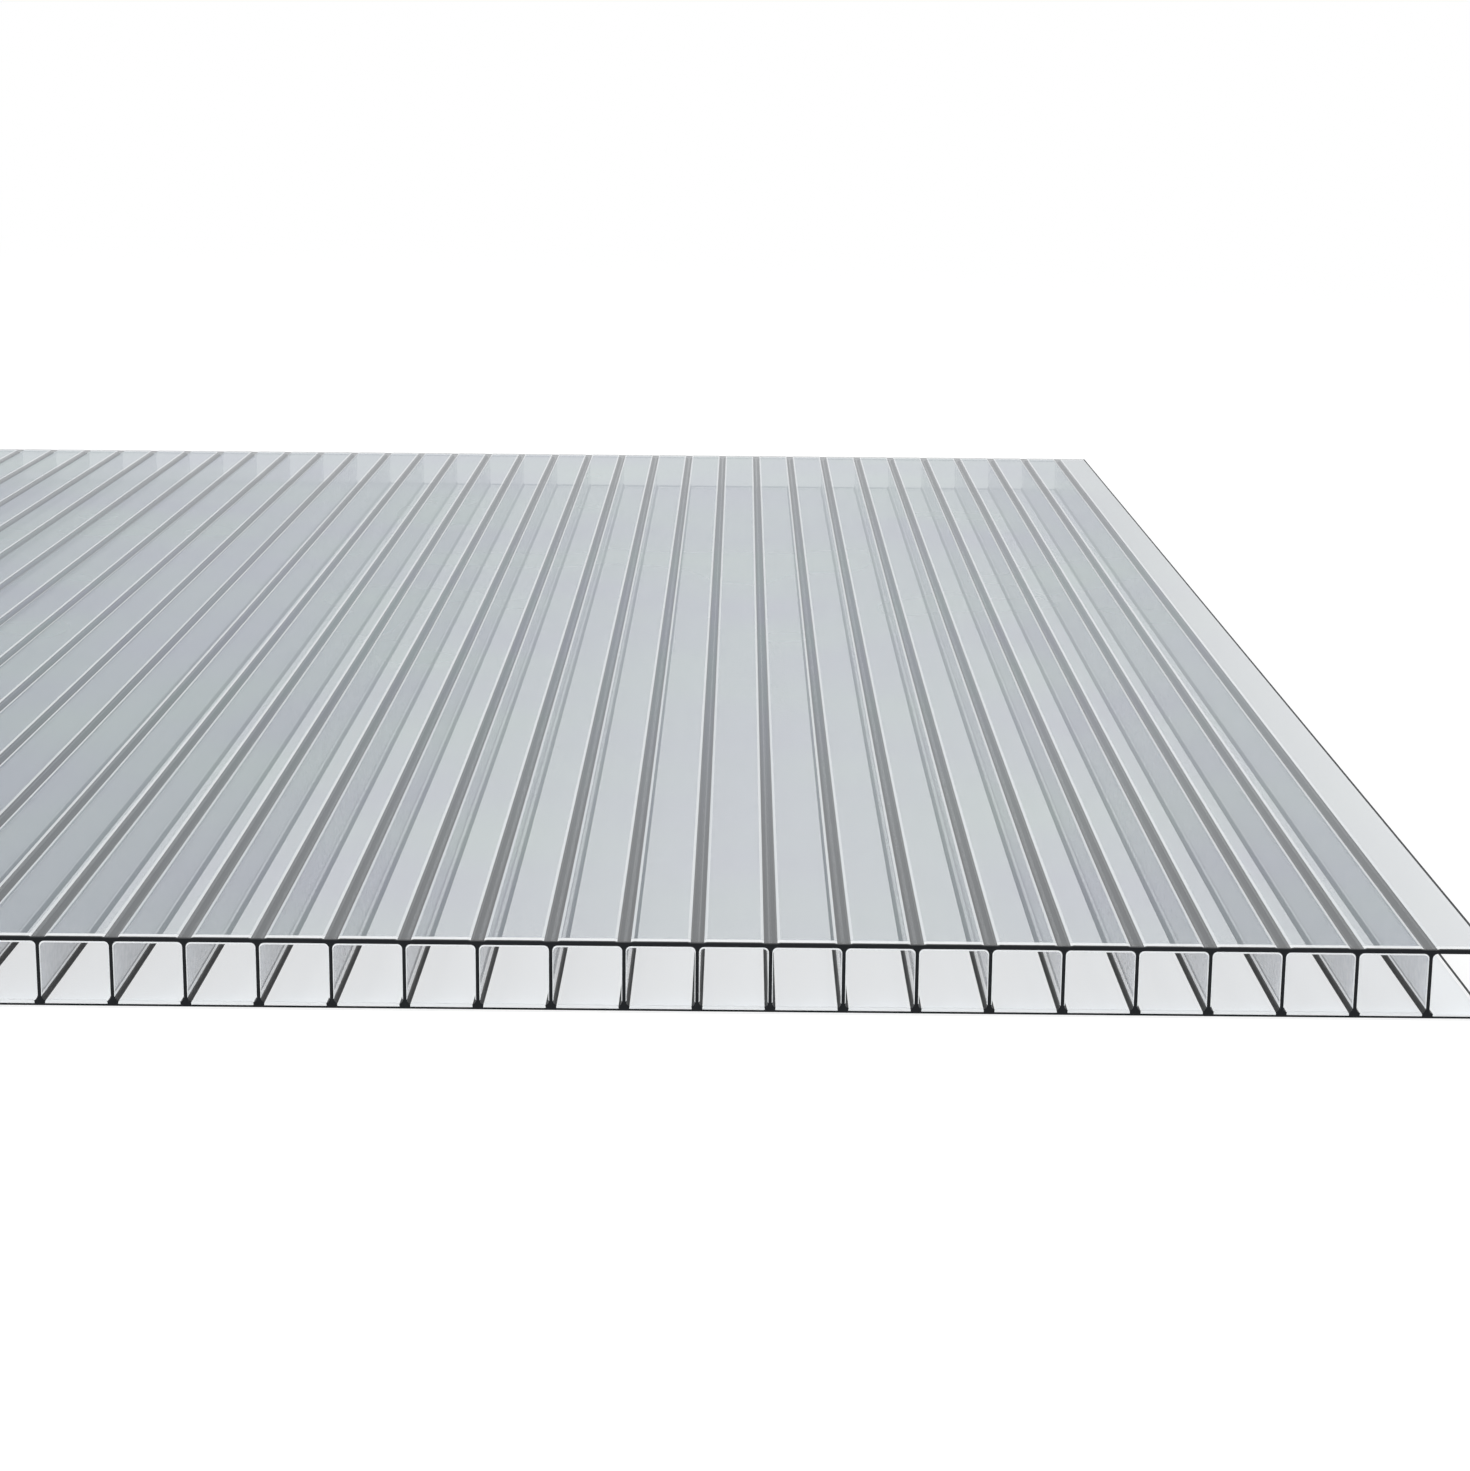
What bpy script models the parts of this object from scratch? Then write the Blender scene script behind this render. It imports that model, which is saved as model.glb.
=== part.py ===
"""Twin-wall polycarbonate sheet: two skins joined by a row of ribs, extruded in one piece.

Metres, +Z up. The flutes run along Y and the sheet lies flat on its lower skin. The origin is at the
middle of the underside.
"""

import math

import bpy

SHEET_WIDTH = 1.050  # across the flutes, between the two sawn sides
SHEET_LENGTH = 0.500  # along the flutes, between the two sawn ends
SHEET_THICKNESS = 0.010  # the gauge that glazing bars and edge profiles take
SKIN_THICKNESS = 0.0006
RIB_THICKNESS = 0.0005
RIB_PITCH = 0.0102  # centre to centre of neighbouring ribs
EDGE_RIB_INSET = 0.0084  # from the right-hand sawn side to the centre of the first rib
FILLET_RADIUS = 0.0007  # where a rib flows into a skin
FILLET_STEPS = 2

SHEET_COLOUR = (0.79, 0.83, 0.85, 1.0)
SHEET_ROUGHNESS = 0.08
SHEET_ALPHA = 0.45

RIGHT_SIDE = SHEET_WIDTH / 2
LEFT_SIDE = -SHEET_WIDTH / 2
FLOOR_OF_FLUTE = SKIN_THICKNESS
ROOF_OF_FLUTE = SHEET_THICKNESS - SKIN_THICKNESS


def rib_centres():
    """Places of the ribs, from the right-hand side to the left, each with all its thickness inside."""
    first = RIGHT_SIDE - EDGE_RIB_INSET
    room = first - RIB_THICKNESS / 2 - LEFT_SIDE
    count = 1 + math.floor(room / RIB_PITCH)
    return [first - index * RIB_PITCH for index in range(count)]


def fillet(corner_x, corner_z, toward_x, toward_z):
    """Arc in the corner of a flute, from its side wall to its floor or roof.

    The toward signs point from the corner into the open flute.
    """
    centre_x = corner_x + toward_x * FILLET_RADIUS
    centre_z = corner_z + toward_z * FILLET_RADIUS
    points = []
    for step in range(FILLET_STEPS + 1):
        turn = math.pi / 2 * step / FILLET_STEPS
        points.append((
            centre_x - toward_x * FILLET_RADIUS * math.cos(turn),
            centre_z - toward_z * FILLET_RADIUS * math.sin(turn),
        ))
    return points


def flute_outline(left_wall, right_wall):
    """Rounded rectangle of one flute, between the faces of two neighbouring ribs."""
    return (
        fillet(left_wall, FLOOR_OF_FLUTE, 1, 1)
        + fillet(right_wall, FLOOR_OF_FLUTE, -1, 1)[::-1]
        + fillet(right_wall, ROOF_OF_FLUTE, -1, -1)
        + fillet(left_wall, ROOF_OF_FLUTE, 1, -1)[::-1]
    )


def sheet_outline(leftmost_rib, rightmost_rib):
    """Outer section, with a half-open flute where the saw cut each side between two ribs."""
    right_wall = rightmost_rib + RIB_THICKNESS / 2
    left_wall = leftmost_rib - RIB_THICKNESS / 2
    right_notch = (
        [(RIGHT_SIDE, FLOOR_OF_FLUTE)]
        + fillet(right_wall, FLOOR_OF_FLUTE, 1, 1)[::-1]
        + fillet(right_wall, ROOF_OF_FLUTE, 1, -1)
        + [(RIGHT_SIDE, ROOF_OF_FLUTE)]
    )
    left_notch = (
        [(LEFT_SIDE, ROOF_OF_FLUTE)]
        + fillet(left_wall, ROOF_OF_FLUTE, -1, -1)[::-1]
        + fillet(left_wall, FLOOR_OF_FLUTE, -1, 1)
        + [(LEFT_SIDE, FLOOR_OF_FLUTE)]
    )
    return (
        [(LEFT_SIDE, 0), (RIGHT_SIDE, 0)]
        + right_notch
        + [(RIGHT_SIDE, SHEET_THICKNESS), (LEFT_SIDE, SHEET_THICKNESS)]
        + left_notch
    )


def add_closed_line(curve, outline):
    """Adds one closed straight-sided line to a flat curve."""
    line = curve.splines.new("POLY")
    line.points.add(len(outline) - 1)
    for point, (x, z) in zip(line.points, outline):
        point.co = (x, z, 0, 1)
    line.use_cyclic_u = True


def polycarbonate():
    """Clear extruded polycarbonate with a faint cool grey tint."""
    material = bpy.data.materials.new("clear_polycarbonate")
    material.use_nodes = True
    shader = material.node_tree.nodes["Principled BSDF"]
    shader.inputs["Base Color"].default_value = SHEET_COLOUR
    shader.inputs["Roughness"].default_value = SHEET_ROUGHNESS
    shader.inputs["Metallic"].default_value = 0.0
    shader.inputs["Alpha"].default_value = SHEET_ALPHA
    return material


def twin_wall_sheet():
    """The whole extrusion: its section as a flat filled curve, drawn out along the flutes."""
    ribs = rib_centres()
    section = bpy.data.curves.new("twin_wall_sheet", "CURVE")
    section.dimensions = "2D"
    section.fill_mode = "BOTH"
    section.extrude = SHEET_LENGTH / 2
    add_closed_line(section, sheet_outline(ribs[-1], ribs[0]))
    for right_rib, left_rib in zip(ribs, ribs[1:]):
        left_wall = left_rib + RIB_THICKNESS / 2
        right_wall = right_rib - RIB_THICKNESS / 2
        add_closed_line(section, flute_outline(left_wall, right_wall))
    section.materials.append(polycarbonate())
    sheet = bpy.data.objects.new("twin_wall_sheet", section)
    sheet.rotation_euler = (math.pi / 2, 0, 0)  # stands the section up, so that it is drawn out along Y
    return sheet


def main():
    for old in list(bpy.data.objects):
        bpy.data.objects.remove(old)
    collection = bpy.data.collections.new("multiwall_polycarbonate_sheet")
    bpy.context.scene.collection.children.link(collection)
    collection.objects.link(twin_wall_sheet())


main()
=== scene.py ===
"""Looks of the twin-wall polycarbonate sheet.

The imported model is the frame. One finer sheet stands for its node: the same section, with rounder
fillets, the burr that the saw leaves round each flute, and a finish of its own for each region.
Metres, +Z up.
"""
import math

import bmesh
import bpy
from mathutils import Matrix, Vector


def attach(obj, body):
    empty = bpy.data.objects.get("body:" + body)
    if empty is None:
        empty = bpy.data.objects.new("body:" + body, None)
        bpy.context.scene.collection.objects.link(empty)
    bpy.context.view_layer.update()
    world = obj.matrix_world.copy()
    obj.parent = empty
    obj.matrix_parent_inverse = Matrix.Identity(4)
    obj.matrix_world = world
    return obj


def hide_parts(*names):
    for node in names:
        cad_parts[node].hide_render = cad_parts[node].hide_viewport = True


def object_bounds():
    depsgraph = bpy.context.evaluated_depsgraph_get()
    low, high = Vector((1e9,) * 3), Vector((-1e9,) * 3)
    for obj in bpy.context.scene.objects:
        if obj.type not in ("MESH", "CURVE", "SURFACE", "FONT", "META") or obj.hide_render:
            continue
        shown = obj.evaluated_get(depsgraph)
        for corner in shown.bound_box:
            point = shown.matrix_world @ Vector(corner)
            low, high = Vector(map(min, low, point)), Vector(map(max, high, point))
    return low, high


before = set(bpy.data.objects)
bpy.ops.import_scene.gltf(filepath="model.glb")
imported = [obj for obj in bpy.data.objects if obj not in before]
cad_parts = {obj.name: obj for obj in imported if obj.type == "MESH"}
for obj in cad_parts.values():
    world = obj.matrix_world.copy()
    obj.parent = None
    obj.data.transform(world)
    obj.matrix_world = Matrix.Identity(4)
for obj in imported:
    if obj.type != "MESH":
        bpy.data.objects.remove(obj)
cad_low, cad_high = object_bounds()

# Section of the sheet, with the same sizes as the solid's
SKIN_THICKNESS = 0.0006
RIB_THICKNESS = 0.0005
RIB_PITCH = 0.0102
EDGE_RIB_INSET = 0.0084
FILLET_RADIUS = 0.0007

# Detail that only the looks have
FILLET_STEPS = 6
ROOT_REACH = 0.0002  # the points of a corner start on the rib, this far from its fillet
GLINT_REACH = 0.0002  # the painted highlight at a fillet's foot runs this far on along the skin
SINK_HALF_WIDTH = 0.00095  # flat bottom of the sink mark where the thick joint of each rib shrank more
SINK_FLANK = 0.0004  # how far its sloping side runs across the skin
SINK_DEPTH = 0.00009
STREAK_MIDDLE = 0.8  # share of the sink mark's flat bottom that is the lighter middle of its streak of painted shade
BURR_REACH = 0.00022  # how far the saw pushed a lip of plastic into each flute from the skins
BURR_SIDE_REACH = 0.0001  # and from the ribs
BURR_FOOT_REACH = 0.00003  # it thins out at the feet of the ribs
BURR_FOOT_SPAN = 0.8  # share of the fillet's radius beside a rib that counts as its foot
BURR_DEPTH = 0.0002  # how thick that lip is, along the flute
LIT_RIM = 0.1  # share of the fillet's height up to which the rim below it is painted light, white as the burr
ARRIS_REACH = 0.0005  # strip of the upper skin beside each sawn end, painted as dark as the cut: painted shade
SIDE_LINE = 0.0004  # strip of a skin along a sawn side, painted the cut's dark colour: painted shade for the cut seen through it
SCUFF_REACH = 0.0017  # strip of the skin that the saw's sole rubbed, beside each sawn end
SAME_PLACE = 1e-7  # points closer than this are one
POINTS_PER_METRE = 1e7  # grid on which shared points are found
BODY_STATIONS = 5  # lengths that the sheet is divided into between its scuffed strips

# Real sizes of the patterns in the finishes
TINT_DRIFT = 0.04  # the filtering layer's tint drifts over about the width of four flutes
DIE_LINES = 0.0012  # the die's lines on a rib, really about 0.1 mm apart, drawn coarser so that they show
SAW_MARKS = 0.0002  # marks of the saw's teeth, this far apart along the cut
SAW_MARK_STRETCH = (1, 1, 0.15)  # they run up and down
SCUFF_GRAIN = 0.0008  # scratches really about 0.1 mm wide, drawn coarser so that they show
SKIN_DRIFT_SOFTNESS = 0.5  # 1 leaves a pattern's blobs soft, and less gives them clearer edges
STREAK_DRIFT_SOFTNESS = 0.3
ROOT_END_REACH = 0.3  # the painted shade of the roots deepens toward the sawn ends over this length
STREAK_END_REACH = 0.25  # and so does the painted shade of the streaks

# Slants of the look, from 0 straight onto the skin to 1 along it
CLEAREST_SLANT = 0.70  # up to here the skin's haze is at its clearest
HAZIEST_SLANT = 0.88  # and from here on at its haziest

# Outside of the sheet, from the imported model
LEFT_SIDE, NEAR_END, UNDERSIDE = cad_low
RIGHT_SIDE, FAR_END, UPPER_FACE = cad_high
FLOOR_OF_FLUTE = UNDERSIDE + SKIN_THICKNESS
ROOF_OF_FLUTE = UPPER_FACE - SKIN_THICKNESS
MIDDLE_OF_FLUTE = (FLOOR_OF_FLUTE + ROOF_OF_FLUTE) / 2

# Camera, fitted to the ribs and edges of the photograph
CAMERA_PLACE = (0.4199, -0.6391, 0.1309)
CAMERA_DOWN = math.radians(13.20)  # below the horizon
CAMERA_TURN = math.radians(0.05)  # to the left of straight along the flutes
CAMERA_ROLL = math.radians(0.53)  # about the line of sight
CAMERA_LENS = 71.6  # millimetres, as is the sensor
SENSOR_WIDTH = 36.0
NEAREST_SEEN = 0.01

# Stage, with the sizes in metres and the power of each lamp in watts
FLOOR_GAP = 0.0004  # the floor lies this far under the sheet, so that they never share a plane
FLOOR_SIZE = 30.0
BACKDROP_GAP = (0.03, 0.09)  # sines of the heights between which the dim gap beneath the backdrop ends
BACKDROP_RISE = (0.14, 0.30)  # sines of the heights between which the backdrop turns white
BACKDROP_LEAN = (0.3, 0.0, 1.0)  # it turns white sooner on the right than on the left
SHADOW_REACH = 0.7  # this far from the floor's middle its shadow begins to fade, and twice as far it is gone
FLOOR_GLOW = 0.82  # share of the seen floor's white that doesn't wait for the lamps
ROOM_LIGHT = 0.55  # strength of the even light that comes from all round
KEY_PLACE = (-0.9, -1.2, 2.0)
KEY_AIM = (0.1, 0.0, 0.0)
KEY_SIZE = 1.6
KEY_POWER = 36.0
FILL_PLACE = (1.8, -0.6, 1.4)
FILL_AIM = (0.2, 0.0, 0.0)
FILL_SIZE = 1.4
FILL_POWER = 4.0
SEE_THROUGH_STEPS = 20  # surfaces that one look may pass through


def linear(hex_colour):
    """Linear RGBA of an sRGB hex colour."""
    channels = []
    for start in (1, 3, 5):
        value = int(hex_colour[start:start + 2], 16) / 255
        channels.append(value / 12.92 if value <= 0.04045 else ((value + 0.055) / 1.055) ** 2.4)
    return (*channels, 1.0)


def add_node(tree, kind, settings=None, links=None, **inputs):
    """Adds one node. Settings are its own properties, inputs are socket values, links feed its sockets."""
    node = tree.nodes.new(kind)
    for name, value in (settings or {}).items():
        setattr(node, name, value)
    for name, value in inputs.items():
        node.inputs[name.replace("_", " ")].default_value = value
    for name, source in (links or {}).items():
        tree.links.new(source, node.inputs[name])
    return node


def new_material(name):
    """Empty node material with its output node."""
    material = bpy.data.materials.new(name)
    material.use_nodes = True
    tree = material.node_tree
    tree.nodes.clear()
    output = tree.nodes.new("ShaderNodeOutputMaterial")
    return material, tree, output


def end_mask(tree, reach):
    """One close to a sawn end, falling to nothing at that reach from it."""
    place = add_node(tree, "ShaderNodeTexCoord")
    split = add_node(tree, "ShaderNodeSeparateXYZ", links={"Vector": place.outputs["Object"]})
    from_middle = add_node(tree, "ShaderNodeMath", {"operation": "ABSOLUTE"}, {0: split.outputs["Y"]})
    mask = add_node(tree, "ShaderNodeMapRange", {"interpolation_type": "SMOOTHSTEP"},
                    {"Value": from_middle.outputs[0]}, From_Min=FAR_END - reach, From_Max=FAR_END)
    return mask.outputs["Result"]


def mottle(tree, grain, stretch=(1, 1, 1), softness=1.0):
    """Cloudy pattern whose blobs are about that many metres wide. Less softness gives them clearer edges."""
    place = add_node(tree, "ShaderNodeTexCoord")
    scaled = add_node(tree, "ShaderNodeMapping", links={"Vector": place.outputs["Object"]}, Scale=stretch)
    noise = add_node(tree, "ShaderNodeTexNoise", links={"Vector": scaled.outputs[0]},
                     Scale=1 / grain, Detail=1.0, Roughness=0.5)
    edge = add_node(tree, "ShaderNodeMapRange", links={"Value": noise.outputs["Fac"]},
                    From_Min=(1 - softness) / 2, From_Max=(1 + softness) / 2)
    return edge.outputs["Result"]


def blend_colours(tree, factor, first, second):
    """Colour between two others, each a hex colour or the output of a node."""
    mix = add_node(tree, "ShaderNodeMix", {"data_type": "RGBA"}, {0: factor})
    sockets = [socket for socket in mix.inputs if socket.type == "RGBA"]
    for socket, colour in zip(sockets, (first, second)):
        if isinstance(colour, str):
            socket.default_value = linear(colour)
        else:
            tree.links.new(colour, socket)
    return next(socket for socket in mix.outputs if socket.type == "RGBA")


# Typical refractive index of polycarbonate
POLYCARBONATE_IOR = 1.586

# Places of the finishes in the list that sheet_materials gives
(UPPER_SKIN, SIDE_SKIN, LOWER_SKIN, ROOF, FLOOR, CHANNEL_ROOF, WEB, ROOT, FOOT, GLINT, STREAK, STREAK_EDGE,
 FLANK, SAWN, BURR, SCUFF) = range(16)


def plain_plastic(name, hex_colour, roughness, alpha, **gloss):
    """Polycarbonate of one colour. Gloss holds further sockets of its shader, such as its coat."""
    material, tree, output = new_material(name)
    shader = add_node(tree, "ShaderNodeBsdfPrincipled", Base_Color=linear(hex_colour),
                      Roughness=roughness, IOR=POLYCARBONATE_IOR, Alpha=alpha, **gloss)
    tree.links.new(shader.outputs[0], output.inputs["Surface"])
    return material


def mottled_plastic(name, grain, hex_one, hex_two, roughness, alpha):
    """Polycarbonate that drifts between two colours, in blobs about that many metres wide."""
    material, tree, output = new_material(name)
    colour = blend_colours(tree, mottle(tree, grain), hex_one, hex_two)
    shader = add_node(tree, "ShaderNodeBsdfPrincipled", links={"Base Color": colour},
                      Roughness=roughness, IOR=POLYCARBONATE_IOR, Alpha=alpha)
    tree.links.new(shader.outputs[0], output.inputs["Surface"])
    return material


def weathering_skin(name, hex_one, hex_two, clearest, haziest):
    """Upper skin, extruded with a filtering layer: glossy, with a cool grey haze that drifts in tint.

    A low look runs through more of the haze, so it hides what is beneath better than a steep one does.
    """
    material, tree, output = new_material(name)
    drift = mottle(tree, TINT_DRIFT, softness=SKIN_DRIFT_SOFTNESS)
    colour = blend_colours(tree, drift, hex_one, hex_two)
    slant = add_node(tree, "ShaderNodeLayerWeight")
    haze = add_node(tree, "ShaderNodeMapRange", links={"Value": slant.outputs["Facing"]},
                    From_Min=CLEAREST_SLANT, From_Max=HAZIEST_SLANT, To_Min=clearest, To_Max=haziest)
    shader = add_node(tree, "ShaderNodeBsdfPrincipled",
                      links={"Base Color": colour, "Alpha": haze.outputs["Result"]},
                      Roughness=0.08, IOR=POLYCARBONATE_IOR)
    tree.links.new(shader.outputs[0], output.inputs["Surface"])
    return material


def rib_root():
    """Fillet where a rib meets a skin: painted shade, a dark line for the light that it bends away from the
    eye.
    """
    material, tree, output = new_material("polycarbonate_rib_root_painted_shade")
    colour = blend_colours(tree, end_mask(tree, ROOT_END_REACH), "#2C3439", "#080B0D")
    shader = add_node(tree, "ShaderNodeBsdfPrincipled", links={"Base Color": colour},
                      Roughness=0.35, IOR=POLYCARBONATE_IOR, Alpha=0.95, Specular_IOR_Level=0.05)
    tree.links.new(shader.outputs[0], output.inputs["Surface"])
    return material


def rib_streak(name, hex_one, hex_two, end_hex):
    """Skin right over a rib: painted shade, a deep grey, blue or green for the look down into the rib."""
    material, tree, output = new_material(name)
    drift = mottle(tree, TINT_DRIFT, softness=STREAK_DRIFT_SOFTNESS)
    middle = blend_colours(tree, drift, hex_one, hex_two)
    colour = blend_colours(tree, end_mask(tree, STREAK_END_REACH), middle, end_hex)
    shader = add_node(tree, "ShaderNodeBsdfPrincipled", links={"Base Color": colour},
                      Roughness=0.08, IOR=POLYCARBONATE_IOR, Alpha=0.9, Specular_IOR_Level=0.44)
    tree.links.new(shader.outputs[0], output.inputs["Surface"])
    return material


def sawn_face():
    """Sawn face: painted shade, nearly black for the look along the whole sheet, with fine saw marks.

    Seen from inside the plastic the same face lets the light behind it through.
    """
    material, tree, output = new_material("sawn_polycarbonate_face_painted_shade")
    marks = mottle(tree, SAW_MARKS, SAW_MARK_STRETCH)
    colour = blend_colours(tree, marks, "#080A0D", "#15191E")
    shader = add_node(tree, "ShaderNodeBsdfPrincipled", links={"Base Color": colour},
                      Roughness=0.45, IOR=POLYCARBONATE_IOR, Specular_IOR_Level=0.15)
    clear = add_node(tree, "ShaderNodeBsdfTransparent")
    side = add_node(tree, "ShaderNodeNewGeometry")
    mix = add_node(tree, "ShaderNodeMixShader",
                   links={0: side.outputs["Backfacing"], 1: shader.outputs[0], 2: clear.outputs[0]})
    tree.links.new(mix.outputs[0], output.inputs["Surface"])
    return material


def sheet_materials():
    """Finish of each region, in the order of their places. All are extruded clear polycarbonate."""
    return [
        # Filtering layer on the outside: cool grey between the ribs
        weathering_skin("coated_polycarbonate_skin", "#9CA4B4", "#A2B4B3", clearest=0.44, haziest=0.88),
        # The same where no flute lies closed beneath it: a shade lighter copy, painted light for the open
        # flute beneath
        weathering_skin("coated_polycarbonate_overhang_painted_light", "#A0A7B0", "#A4AFB1", clearest=0.45, haziest=0.78),
        # Bare extruded skin: clear, with the resin's faint blue
        plain_plastic("clear_polycarbonate_skin", "#A8CCE4", roughness=0.12, alpha=0.15),
        # Inside of the upper skin: clear and a little dull from the die
        plain_plastic("clear_polycarbonate_flute_roof", "#B4BCC2", roughness=0.2, alpha=0.12),
        # Inside of the lower skin: clear, so the floor shows through
        plain_plastic("clear_polycarbonate_flute_floor", "#A8CCE4", roughness=0.2, alpha=0.05),
        # Roof of the half-open flutes: a clearer copy, painted light for the light that comes in at the side
        plain_plastic("clear_polycarbonate_channel_roof_painted_light", "#B4BCC2", roughness=0.2, alpha=0.06),
        # Side of a rib, lined by the die: half clear and milky at a low look
        mottled_plastic("clear_polycarbonate_web", DIE_LINES, "#CFD2DA", "#EEF0F4",
                        roughness=0.25, alpha=0.48),
        # Fillet along each rib's root: painted shade, a dark line that deepens toward the sawn ends
        rib_root(),
        # Foot of the fillet on a flute's floor: clearer than the floor, a painted highlight for the light it
        # gathers
        plain_plastic("clear_polycarbonate_fillet_foot_painted_highlight", "#FFFFFF", roughness=0.2, alpha=0.02),
        # Foot of the fillet on a flute's roof: a painted highlight, a bright line under the skin
        plain_plastic("polycarbonate_fillet_painted_glint", "#EEF3F5", roughness=0.12, alpha=0.7),
        # Middle of the painted shade over a rib: blue grey to green grey, darker at the ends
        rib_streak("polycarbonate_rib_streak", "#48546C", "#406064", "#1E2B33"),
        # Its two edges: painted shade, darker still
        rib_streak("polycarbonate_rib_streak_edge", "#364252", "#324A4C", "#121B22"),
        # Sloping side of the sink mark over a rib: glassy and unhazed, so it mirrors the backdrop, and pale
        # as a painted highlight
        plain_plastic("glossy_polycarbonate_sink_flank_painted_highlight", "#D0D6DA", roughness=0.05, alpha=0.86,
                      Coat_Weight=1.0, Coat_Roughness=0.04, Coat_IOR=POLYCARBONATE_IOR),
        # Sawn face: painted shade, nearly black, with the saw's marks
        sawn_face(),
        # Lip that the saw tore: frosted white
        plain_plastic("frosted_polycarbonate_burr", "#F8FAFB", roughness=0.5, alpha=0.92),
        # Strip that the saw's sole rubbed: frosted, nearly white
        mottled_plastic("scuffed_polycarbonate_strip", SCUFF_GRAIN, "#ECEFF0", "#FFFFFF",
                        roughness=0.5, alpha=0.9),
    ]


def rib_centres():
    """Places of the ribs, from the right-hand side to the left, each with all its thickness inside."""
    first = RIGHT_SIDE - EDGE_RIB_INSET
    room = first - RIB_THICKNESS / 2 - LEFT_SIDE
    count = 1 + math.floor(room / RIB_PITCH)
    return [first - index * RIB_PITCH for index in range(count)]


class Mesher:
    """Gathers points and faces, and shares a point wherever two faces meet."""

    def __init__(self):
        self.points = []
        self.numbers = {}
        self.faces = []
        self.finishes = []

    def point(self, place):
        """Number of the point at a place, which is added the first time."""
        key = tuple(round(value * POINTS_PER_METRE) for value in place)
        if key not in self.numbers:
            self.numbers[key] = len(self.points)
            self.points.append(place)
        return self.numbers[key]

    def face(self, places, finish):
        """Adds a face, unless fewer than three of its corners differ."""
        corners = []
        for place in places:
            number = self.point(place)
            if number not in corners:
                corners.append(number)
        if len(corners) > 2:
            self.faces.append(corners)
            self.finishes.append(finish)

    def build(self, name, materials):
        """Mesh of all the faces, each with its finish."""
        mesh = bpy.data.meshes.new(name)
        mesh.from_pydata(self.points, [], self.faces)
        for material in materials:
            mesh.materials.append(material)
        for polygon, finish in zip(mesh.polygons, self.finishes):
            polygon.material_index = finish
        mesh.validate()
        return mesh


def quarter(corner_x, corner_z, toward_x, toward_z, radius):
    """Arc in a corner of a flute, from its side wall to its floor or roof."""
    centre_x = corner_x + toward_x * radius
    centre_z = corner_z + toward_z * radius
    arc = []
    for step in range(FILLET_STEPS + 1):
        turn = math.pi / 2 * step / FILLET_STEPS
        arc.append((
            centre_x - toward_x * radius * math.cos(turn),
            centre_z - toward_z * radius * math.sin(turn),
        ))
    return arc


def corner_lines(centre, toward_x, level, skin_z, toward_z):
    """Inner and outer points of one corner of a flute, from the rib outward, and the finish of each stretch.

    The outer points start inside the rib, and on the upper skin they follow half of its sink mark.
    """
    rib_side = centre + toward_x * RIB_THICKNESS / 2
    arc = quarter(rib_side, level, toward_x, toward_z, FILLET_RADIUS)
    root_top = level + toward_z * (FILLET_RADIUS + ROOT_REACH)
    inner = [(rib_side, root_top)] + arc + [(arc[-1][0] + toward_x * GLINT_REACH, level)]
    rib_steps = FILLET_STEPS // 2
    fillet_z = arc[0][1]
    sunk_z = skin_z - SINK_DEPTH if skin_z == UPPER_FACE else skin_z
    outer = [(centre, root_top)]
    for step in range(rib_steps + 1):
        outer.append((centre, fillet_z + (sunk_z - fillet_z) * step / rib_steps))
    sink_steps = FILLET_STEPS - rib_steps
    for step in range(1, sink_steps + 1):
        share = step / sink_steps
        offset = RIB_THICKNESS / 2 + (SINK_HALF_WIDTH - RIB_THICKNESS / 2) * share
        outer.append((centre + toward_x * offset, sunk_z))
    outer.append((centre + toward_x * (SINK_HALF_WIDTH + SINK_FLANK), skin_z))
    # Painted highlight beside each fillet: a clearer line on the floor, a bright one under the roof
    beside = FOOT if toward_z > 0 else GLINT
    finishes = [WEB] + [ROOT] * (FILLET_STEPS - 1) + [beside] * 2
    return inner, outer, finishes


def bay(left_centre, right_centre):
    """Loops of one bay, anticlockwise from its lower left corner, with the finish of each inner stretch.

    The outer loop runs along the middles of the two ribs and the outsides of the skins. The lipped loop
    is the inner one drawn in by the burr.
    """
    inner, outer, finishes = [], [], []
    corners = (
        (left_centre, 1, FLOOR_OF_FLUTE, UNDERSIDE, 1, False, FLOOR),
        (right_centre, -1, FLOOR_OF_FLUTE, UNDERSIDE, 1, True, WEB),
        (right_centre, -1, ROOF_OF_FLUTE, UPPER_FACE, -1, False, ROOF),
        (left_centre, 1, ROOF_OF_FLUTE, UPPER_FACE, -1, True, WEB),
    )
    for centre, toward_x, level, skin_z, toward_z, inward, after in corners:
        corner_inner, corner_outer, corner_finishes = corner_lines(centre, toward_x, level, skin_z, toward_z)
        step = -1 if inward else 1
        inner += corner_inner[::step]
        outer += corner_outer[::step]
        finishes += corner_finishes[::step] + [after]
    middle_x = (left_centre + right_centre) / 2
    half_width = (right_centre - left_centre - RIB_THICKNESS) / 2
    half_height = (ROOF_OF_FLUTE - FLOOR_OF_FLUTE) / 2
    lipped = []
    for x, z in inner:
        beside_rib = abs(x - middle_x) > half_width - FILLET_RADIUS * BURR_FOOT_SPAN
        at_foot = beside_rib and z < FLOOR_OF_FLUTE + FILLET_RADIUS
        side_reach = BURR_FOOT_REACH if at_foot else BURR_SIDE_REACH
        reach = BURR_FOOT_REACH if at_foot else BURR_REACH
        lipped.append((
            middle_x + (x - middle_x) * (1 - side_reach / half_width),
            MIDDLE_OF_FLUTE + (z - MIDDLE_OF_FLUTE) * (1 - reach / half_height),
        ))
    return inner, outer, lipped, finishes


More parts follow.
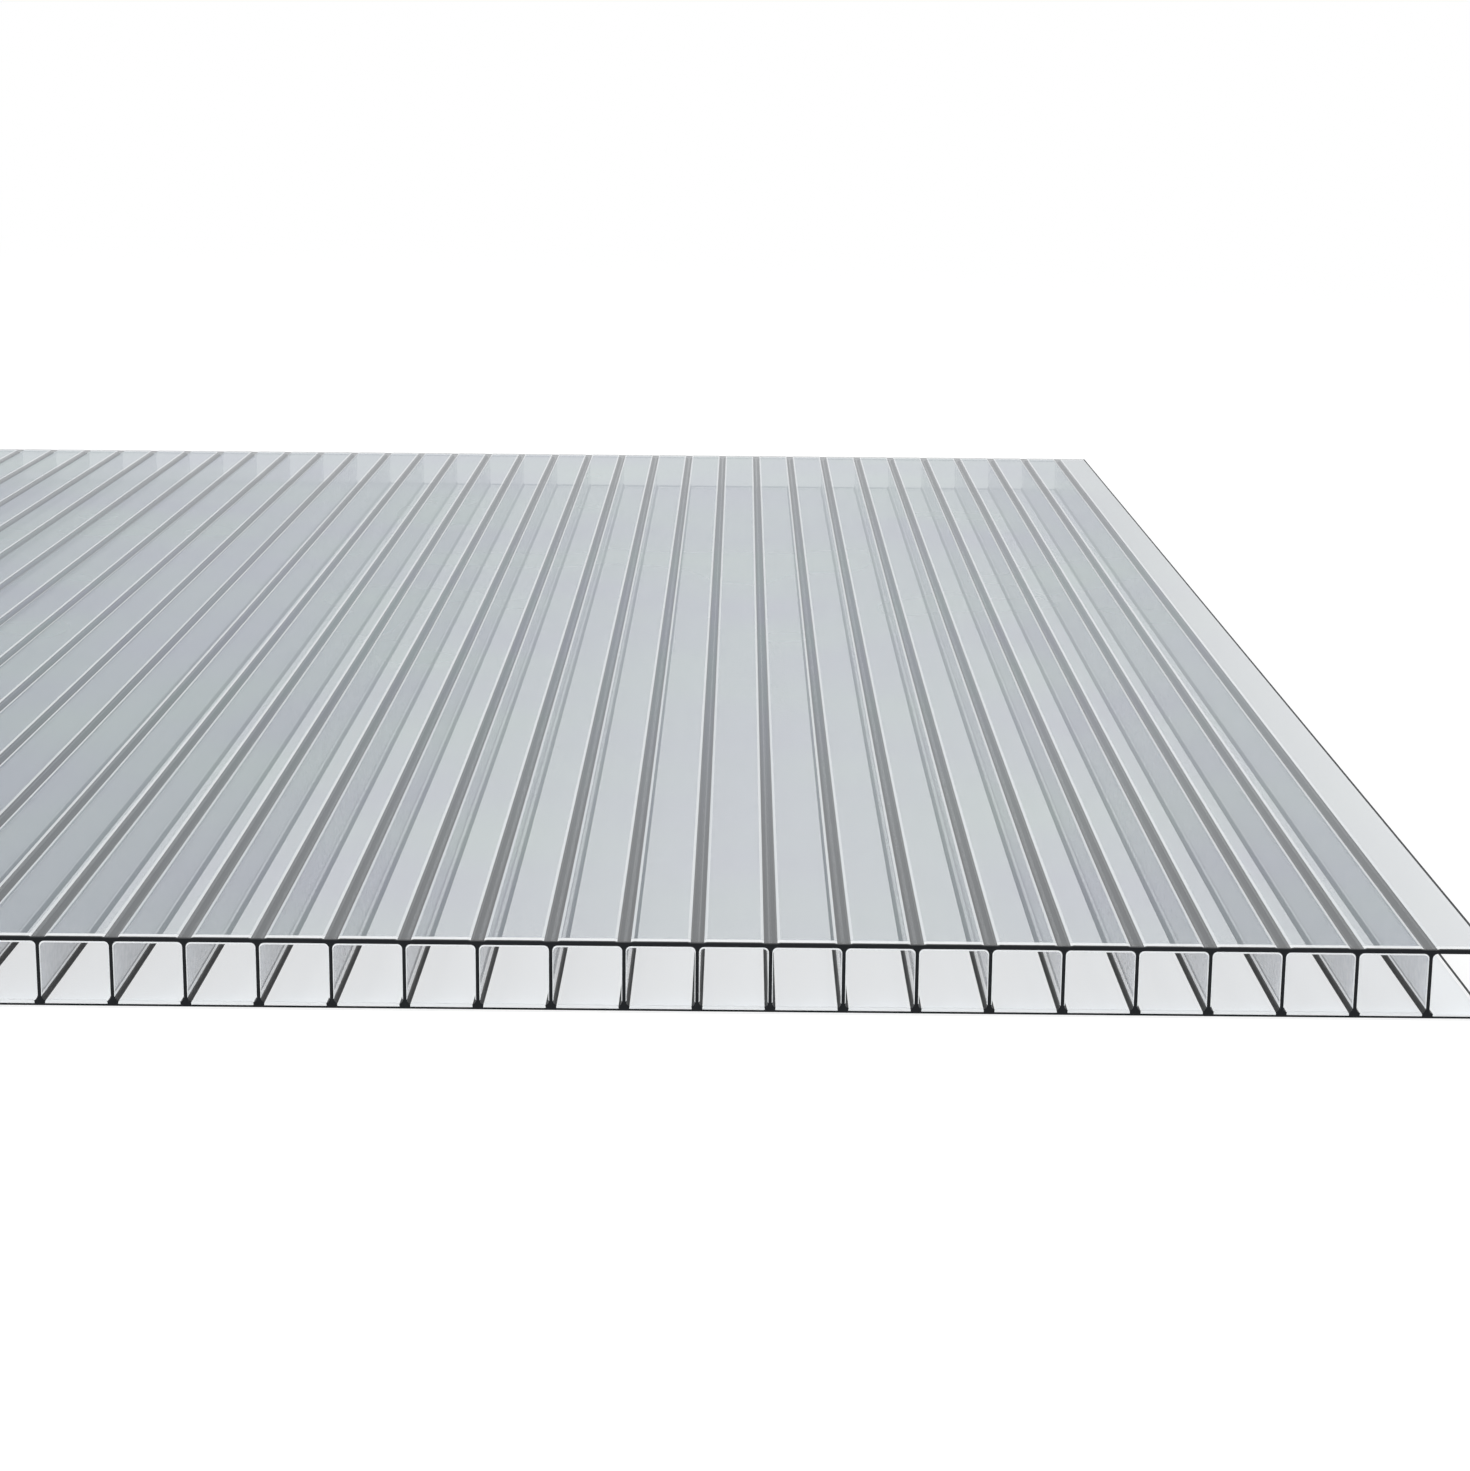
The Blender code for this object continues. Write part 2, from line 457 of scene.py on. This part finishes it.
def stations():
    """Places along the sheet where its loops stand, from one sawn end to the other."""
    start, end = NEAR_END + BURR_DEPTH, FAR_END - BURR_DEPTH
    inner_start, inner_end = NEAR_END + SCUFF_REACH, FAR_END - SCUFF_REACH
    step = (inner_end - inner_start) / BODY_STATIONS
    middle = [inner_start + index * step for index in range(BODY_STATIONS + 1)]
    return [NEAR_END, start, NEAR_END + ARRIS_REACH] + middle + [FAR_END - ARRIS_REACH, end, FAR_END]


def at(loop_point, y):
    """Point of a loop, at one place along the sheet."""
    return (loop_point[0], y, loop_point[1])


def long_face(mesher, first, second, start, end, finish):
    """Face that runs along the sheet between two places, over the line between two loop points."""
    mesher.face([at(first, start), at(first, end), at(second, end), at(second, start)], finish)


def ribbon(mesher, first, second, y, finishes, closed=True):
    """Flat strip between two loops at one place along the sheet."""
    count = len(first) if closed else len(first) - 1
    for index in range(count):
        after = (index + 1) % len(first)
        finish = finishes if isinstance(finishes, int) else finishes[index]
        corners = [first[index], first[after], second[after], second[index]]
        mesher.face([at(corner, y) for corner in corners], finish)


def tube(mesher, loop, start, end, finishes, closed=True):
    """Walls that a loop leaves as it runs from one place along the sheet to another."""
    count = len(loop) if closed else len(loop) - 1
    for index in range(count):
        after = (index + 1) % len(loop)
        finish = finishes if isinstance(finishes, int) else finishes[index]
        long_face(mesher, loop[index], loop[after], start, end, finish)


def skin_finish(low_y, high_y, first, second, nearest_rib, plain):
    """Finish of one face of a skin, between two loop points and two places along the sheet.

    Skins are scuffed beside the sawn ends, and the upper one has a sunken streak of painted shade over each
    rib, with pale flanks that add a painted highlight to their real gloss. Plain is its finish between the
    streaks. Along the sawn sides, and at the upper skin's sawn ends, a skin takes the cut's dark colour as
    painted shade.
    """
    middle_x = (first[0] + second[0]) / 2
    # Painted shade: each skin's strip along a sawn side takes the cut's dark colour
    if min(middle_x - LEFT_SIDE, RIGHT_SIDE - middle_x) < SIDE_LINE:
        return SAWN
    to_end = min(high_y - NEAR_END, FAR_END - low_y) - SAME_PLACE
    upper = max(first[1], second[1]) > ROOF_OF_FLUTE
    # Painted shade: the upper skin's strip at each sawn end takes the cut's dark colour
    if upper and to_end < ARRIS_REACH:
        return SAWN
    offset = abs(middle_x - nearest_rib)
    if to_end < SCUFF_REACH:
        return STREAK_EDGE if upper and offset < SINK_HALF_WIDTH else SCUFF
    if not upper:
        return LOWER_SKIN
    if offset < SINK_HALF_WIDTH:
        return STREAK if offset < STREAK_MIDDLE * SINK_HALF_WIDTH else STREAK_EDGE
    return FLANK if offset < SINK_HALF_WIDTH + SINK_FLANK else plain


def outer_skins(mesher, outer, rib_places, plain, closed=True):
    """Outside of the two skins along one outer loop, without the stretches inside the ribs."""
    places = stations()
    count = len(outer) if closed else len(outer) - 1
    for index in range(count):
        first, second = outer[index], outer[(index + 1) % len(outer)]
        if abs(first[0] - second[0]) < SAME_PLACE:
            continue
        middle_x = (first[0] + second[0]) / 2
        nearest_rib = min(rib_places, key=lambda rib: abs(rib - middle_x))
        for low_y, high_y in zip(places, places[1:]):
            finish = skin_finish(low_y, high_y, first, second, nearest_rib, plain)
            long_face(mesher, first, second, low_y, high_y, finish)


def midway(first, second):
    """Loop point halfway between two others."""
    return ((first[0] + second[0]) / 2, (first[1] + second[1]) / 2)


def sawn_end(mesher, outer, inner, y, closed=True):
    """Sawn face of the plastic round a flute.

    Beneath the flute its upper half is painted light, as white as the burr, for the light in the flute
    that shines through it.
    """
    middle = [midway(first, second) for first, second in zip(outer, inner)]
    low = [point[1] < FLOOR_OF_FLUTE + FILLET_RADIUS * LIT_RIM for point in inner]
    rim = [BURR if here and after else SAWN for here, after in zip(low, low[1:] + low[:1])]
    ribbon(mesher, outer, middle, y, SAWN, closed)
    ribbon(mesher, middle, inner, y, rim, closed)


def closed_bay(mesher, left_centre, right_centre):
    """One whole flute with half a rib on each side."""
    inner, outer, lipped, finishes = bay(left_centre, right_centre)
    places = stations()
    outer_skins(mesher, outer, (left_centre, right_centre), UPPER_SKIN)
    # The burr is white, but takes the cut's dark colour at the feet of the ribs: painted shade that carries
    # on their roots' dark lines
    lip = [
        SAWN if finish == ROOT and point[1] < MIDDLE_OF_FLUTE else BURR
        for point, finish in zip(inner, finishes)
    ]
    for end, back in ((NEAR_END, places[1]), (FAR_END, places[-2])):
        sawn_end(mesher, outer, inner, end)
        ribbon(mesher, inner, lipped, end, lip)
        tube(mesher, lipped, end, back, lip)
        ribbon(mesher, lipped, inner, back, lip)
    body = places[1:-1]
    for low_y, high_y in zip(body, body[1:]):
        tube(mesher, inner, low_y, high_y, finishes)


def open_bay(mesher, rib_centre, side, toward):
    """Half-open flute between the outermost rib and a sawn side.

    Toward is 1 for the side at +X and -1 for the side at -X.
    """
    low_inner, low_outer, low_finishes = corner_lines(rib_centre, toward, FLOOR_OF_FLUTE, UNDERSIDE, 1)
    high_inner, high_outer, high_finishes = corner_lines(rib_centre, toward, ROOF_OF_FLUTE, UPPER_FACE, -1)
    narrow = abs(side - rib_centre) < SINK_HALF_WIDTH + SINK_FLANK + SIDE_LINE
    line = side if narrow else side - toward * SIDE_LINE
    inner = [(side, FLOOR_OF_FLUTE), (line, FLOOR_OF_FLUTE)] + low_inner[::-1]
    inner += high_inner + [(line, ROOF_OF_FLUTE), (side, ROOF_OF_FLUTE)]
    outer = [(side, UNDERSIDE), (line, UNDERSIDE)] + low_outer[::-1]
    outer += high_outer + [(line, UPPER_FACE), (side, UPPER_FACE)]
    outer = [(min(max(x, LEFT_SIDE), RIGHT_SIDE), z) for x, z in outer]
    # The floor and roof strips along the sawn side take the cut's dark colour as painted shade
    finishes = [SAWN, FLOOR] + low_finishes[::-1] + [WEB] + high_finishes + [CHANNEL_ROOF, SAWN]
    places = stations()
    outer_skins(mesher, outer, (rib_centre,), SIDE_SKIN, closed=False)
    for end in (NEAR_END, FAR_END):
        sawn_end(mesher, outer, inner, end, closed=False)
    for low_y, high_y in zip(places, places[1:]):
        tube(mesher, inner, low_y, high_y, finishes, closed=False)
        for inside, outside in ((inner[0], outer[0]), (inner[-1], outer[-1])):
            halfway = midway(inside, outside)
            for first, second in ((inside, halfway), (halfway, outside)):
                long_face(mesher, first, second, low_y, high_y, SAWN)


def make_sheet():
    """The dressed sheet: closed flutes between the ribs and a half-open one at each sawn side."""
    ribs = rib_centres()
    mesher = Mesher()
    for right_rib, left_rib in zip(ribs, ribs[1:]):
        closed_bay(mesher, left_rib, right_rib)
    open_bay(mesher, ribs[0], RIGHT_SIDE, 1)
    open_bay(mesher, ribs[-1], LEFT_SIDE, -1)
    mesh = mesher.build("twin_wall_sheet_looks", sheet_materials())
    sheet = bpy.data.objects.new("twin_wall_sheet_looks", mesh)
    bpy.context.scene.collection.objects.link(sheet)
    return sheet


def face_outward(sheet):
    """Turns every face of a closed mesh outward."""
    work = bmesh.new()
    work.from_mesh(sheet.data)
    bmesh.ops.recalc_face_normals(work, faces=work.faces)
    if work.calc_volume(signed=True) < 0:
        bmesh.ops.reverse_faces(work, faces=work.faces)
    work.to_mesh(sheet.data)
    work.free()


def add_floor():
    """Pale floor. A camera sees it as white paper that still takes a soft shadow."""
    mesh = bpy.data.meshes.new("floor")
    half = FLOOR_SIZE / 2
    level = UNDERSIDE - FLOOR_GAP
    corners = [(x * half, y * half, level) for x, y in ((-1, -1), (1, -1), (1, 1), (-1, 1))]
    mesh.from_pydata(corners, [], [(0, 1, 2, 3)])
    floor = bpy.data.objects.new("floor", mesh)
    bpy.context.scene.collection.objects.link(floor)
    material, tree, output = new_material("white_paper")
    paper = add_node(tree, "ShaderNodeBsdfDiffuse", Color=linear("#F2F2F2"))
    shade = add_node(tree, "ShaderNodeBsdfDiffuse", Color=linear("#8E8E8E"))
    glow = add_node(tree, "ShaderNodeEmission", Color=linear("#FFFFFF"), Strength=FLOOR_GLOW)
    near = add_node(tree, "ShaderNodeAddShader", links={0: shade.outputs[0], 1: glow.outputs[0]})
    place = add_node(tree, "ShaderNodeTexCoord")
    reach = add_node(tree, "ShaderNodeVectorMath", {"operation": "LENGTH"}, {0: place.outputs["Object"]})
    away = add_node(tree, "ShaderNodeMapRange", {"interpolation_type": "SMOOTHSTEP"},
                    {"Value": reach.outputs["Value"]}, From_Min=SHADOW_REACH, From_Max=2 * SHADOW_REACH)
    blank = add_node(tree, "ShaderNodeEmission", Color=linear("#FFFFFF"), Strength=1.0)
    seen = add_node(tree, "ShaderNodeMixShader",
                    links={0: away.outputs["Result"], 1: near.outputs[0], 2: blank.outputs[0]})
    path = add_node(tree, "ShaderNodeLightPath")
    either = add_node(tree, "ShaderNodeMath", {"operation": "MAXIMUM"},
                      {0: path.outputs["Is Camera Ray"], 1: path.outputs["Is Glossy Ray"]})
    direct = add_node(tree, "ShaderNodeMath", {"operation": "MAXIMUM"},
                      {0: either.outputs[0], 1: path.outputs["Is Transmission Ray"]})
    mix = add_node(tree, "ShaderNodeMixShader",
                   links={0: direct.outputs[0], 1: paper.outputs[0], 2: seen.outputs[0]})
    tree.links.new(mix.outputs[0], output.inputs["Surface"])
    mesh.materials.append(material)
    return floor


def light_world():
    """White backdrop for the eye and for reflections, and a plain even light for everything else."""
    world = bpy.data.worlds.new("studio")
    bpy.context.scene.world = world
    world.use_nodes = True
    tree = world.node_tree
    tree.nodes.clear()
    output = tree.nodes.new("ShaderNodeOutputWorld")
    soft = add_node(tree, "ShaderNodeBackground", Color=linear("#F4F6F8"), Strength=ROOM_LIGHT)
    white = add_node(tree, "ShaderNodeBackground", Color=linear("#FFFFFF"), Strength=1.0)
    horizon = add_node(tree, "ShaderNodeBackground", Color=linear("#E9EBED"), Strength=1.0)
    dim = add_node(tree, "ShaderNodeBackground", Color=linear("#6C7176"), Strength=1.0)
    place = add_node(tree, "ShaderNodeTexCoord")
    split = add_node(tree, "ShaderNodeSeparateXYZ", links={"Vector": place.outputs["Generated"]})
    leaning = add_node(tree, "ShaderNodeVectorMath", {"operation": "DOT_PRODUCT"},
                       {0: place.outputs["Generated"]})
    leaning.inputs[1].default_value = BACKDROP_LEAN
    above_gap, above_rise = [
        add_node(tree, "ShaderNodeMapRange", {"interpolation_type": "SMOOTHSTEP"}, {"Value": height},
                 From_Min=start, From_Max=end)
        for height, (start, end) in (
            (split.outputs["Z"], BACKDROP_GAP),
            (leaning.outputs["Value"], BACKDROP_RISE),
        )
    ]
    low_room = add_node(tree, "ShaderNodeMixShader",
                        links={0: above_gap.outputs["Result"], 1: dim.outputs[0], 2: horizon.outputs[0]})
    room = add_node(tree, "ShaderNodeMixShader",
                    links={0: above_rise.outputs["Result"], 1: low_room.outputs[0], 2: white.outputs[0]})
    path = add_node(tree, "ShaderNodeLightPath")
    either = add_node(tree, "ShaderNodeMath", {"operation": "MAXIMUM"},
                      {0: path.outputs["Is Camera Ray"], 1: path.outputs["Is Transmission Ray"]})
    mix = add_node(tree, "ShaderNodeMixShader",
                   links={0: path.outputs["Is Glossy Ray"], 1: soft.outputs[0], 2: room.outputs[0]})
    seen = add_node(tree, "ShaderNodeMixShader",
                    links={0: either.outputs[0], 1: mix.outputs[0], 2: white.outputs[0]})
    tree.links.new(seen.outputs[0], output.inputs["Surface"])


def add_softbox(name, place, aim, size, power):
    """Square area lamp that points at a place."""
    lamp = bpy.data.lights.new(name, "AREA")
    lamp.shape = "SQUARE"
    lamp.size = size
    lamp.energy = power
    holder = bpy.data.objects.new(name, lamp)
    holder.location = place
    direction = [target - start for target, start in zip(aim, place)]
    holder.rotation_euler = Vector(direction).to_track_quat("-Z", "Y").to_euler()
    bpy.context.scene.collection.objects.link(holder)


def add_camera():
    """Camera of the photograph: low over the near end, close to the open side."""
    data = bpy.data.cameras.new("camera")
    data.lens = CAMERA_LENS
    data.sensor_width = SENSOR_WIDTH
    data.clip_start = NEAREST_SEEN
    camera = bpy.data.objects.new("camera", data)
    camera.location = CAMERA_PLACE
    turn = Matrix.Rotation(CAMERA_TURN, 3, "Z")
    tilt = Matrix.Rotation(math.pi / 2 - CAMERA_DOWN, 3, "X")
    roll = Matrix.Rotation(CAMERA_ROLL, 3, "Z")
    camera.rotation_euler = (turn @ tilt @ roll).to_euler()
    bpy.context.scene.collection.objects.link(camera)
    bpy.context.scene.camera = camera


sheet = make_sheet()
face_outward(sheet)
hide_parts("twin_wall_sheet")
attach(sheet, "root")
add_floor()

light_world()
add_softbox("key_softbox", KEY_PLACE, KEY_AIM, KEY_SIZE, KEY_POWER)
add_softbox("fill_softbox", FILL_PLACE, FILL_AIM, FILL_SIZE, FILL_POWER)
add_camera()
bpy.context.scene.view_settings.view_transform = "Standard"
# A low look across the sheet passes through more ribs than the usual eight see-through steps allow
bpy.context.scene.cycles.transparent_max_bounces = SEE_THROUGH_STEPS
